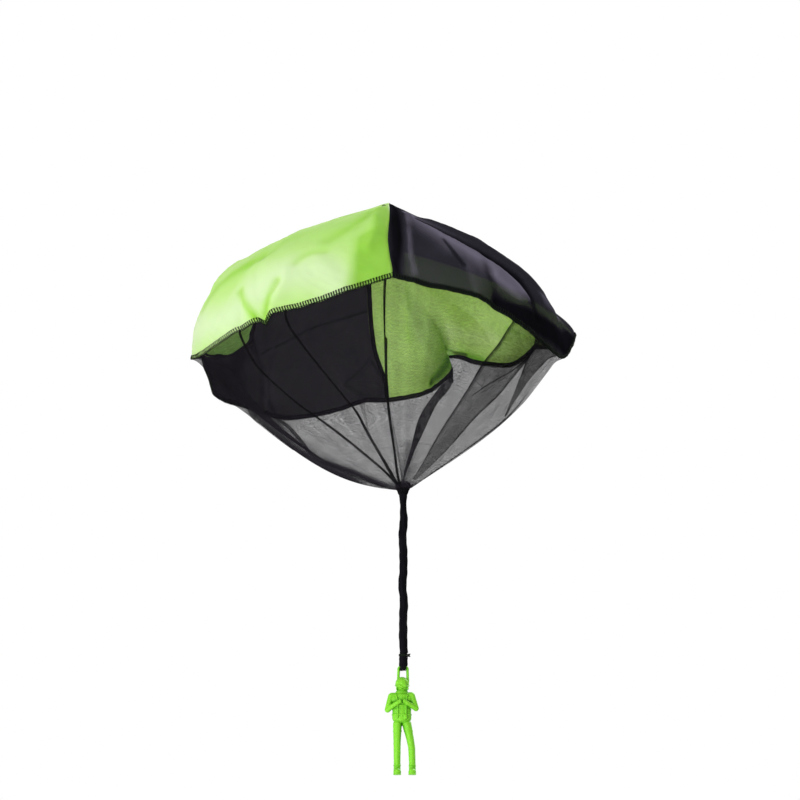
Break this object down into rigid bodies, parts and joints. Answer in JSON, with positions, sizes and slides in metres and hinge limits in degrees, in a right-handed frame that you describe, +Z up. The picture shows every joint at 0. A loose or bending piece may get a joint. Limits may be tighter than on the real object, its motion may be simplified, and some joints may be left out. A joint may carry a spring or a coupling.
{
  "type": "toy parachute",
  "caption": "Throwing toy: a cloth canopy sewn from gores with a net skirt gathered into a tail that carries a moulded plastic skydiver by a ring on the helmet.",
  "frame": {"origin": "crown of the canopy, where its seams meet and from which it hangs", "axes": "+Z up as it hangs, the figure faces -Y, +X is to the figure's left"},
  "size_m": [0.3693, 0.3411, 0.5146],
  "materials": {
    "green_cloth": "thin light green nylon with a soft sheen",
    "black_cloth": "thin near-black nylon with a soft sheen",
    "hem_thread": "matt overlock thread",
    "black_net": "fine black knitted net",
    "green_plastic": "bright green moulded plastic, semi-gloss"
  },
  "bodies": {
    "canopy": {"canopy_gore_front_left": "green_cloth", "canopy_gore_front_right": "black_cloth", "canopy_gore_back_right": "green_cloth", "canopy_gore_back_left": "black_cloth", "hem_binding_front_left": "hem_thread", "hem_binding_front_right": "hem_thread", "hem_binding_back_right": "hem_thread", "hem_binding_back_left": "hem_thread", "canopy_seam_front": "black_cloth", "canopy_seam_right": "black_cloth", "canopy_seam_back": "black_cloth", "canopy_seam_left": "black_cloth", "crown_tack": "black_cloth", "net_panel_front_left": "black_net", "net_panel_front_right": "black_net", "net_panel_back_right": "black_net", "net_panel_back_left": "black_net", "net_seam_front": "black_net", "net_seam_right": "black_net", "net_seam_back": "black_net", "net_seam_left": "black_net"},
    "gather": {"gather_knot": "black_net"},
    "tail_1": {"tail_bundle_1": "black_net"},
    "tail_2": {"tail_bundle_2": "black_net"},
    "tail_3": {"tail_bundle_3": "black_net"},
    "tail_4": {"tail_bundle_4": "black_net"},
    "tail_end": {"tail_end_loop": "black_net", "tail_tie_thread": "hem_thread"},
    "skydiver": {"skydiver_figure": "green_plastic"}
  },
  "joints": [
    {"name": "net_slack", "type": "slide", "parent": "canopy", "child": "gather", "axis": [0, 0, 1], "range_m": [0, 0.06], "deforming": ["net_panel_front_left", "net_panel_front_right", "net_panel_back_right", "net_panel_back_left", "net_seam_front", "net_seam_right", "net_seam_back", "net_seam_left"]},
    {"name": "tail_bend_1", "type": "hinge", "parent": "gather", "child": "tail_1", "pos_m": [0.0454, -0.02, -0.26498], "axis": [0, 1, 0], "range_deg": [-40, 40]},
    {"name": "tail_bend_2", "type": "hinge", "parent": "tail_1", "child": "tail_2", "pos_m": [0.0454, -0.02, -0.30073], "axis": [1, 0, 0], "range_deg": [-40, 40]},
    {"name": "tail_bend_3", "type": "hinge", "parent": "tail_2", "child": "tail_3", "pos_m": [0.0454, -0.02, -0.33648], "axis": [0, 1, 0], "range_deg": [-40, 40]},
    {"name": "tail_bend_4", "type": "hinge", "parent": "tail_3", "child": "tail_4", "pos_m": [0.0454, -0.02, -0.37222], "axis": [1, 0, 0], "range_deg": [-40, 40]},
    {"name": "tail_twist", "type": "hinge", "parent": "tail_4", "child": "tail_end", "pos_m": [0.0454, -0.02, -0.40797], "axis": [0, 0, 1], "range_deg": [-180, 180]},
    {"name": "figure_swing", "type": "hinge", "parent": "tail_end", "child": "skydiver", "pos_m": [0.0454, -0.02, -0.42197], "axis": [1, 0, 0], "range_deg": [-90, 90]}
  ]
}
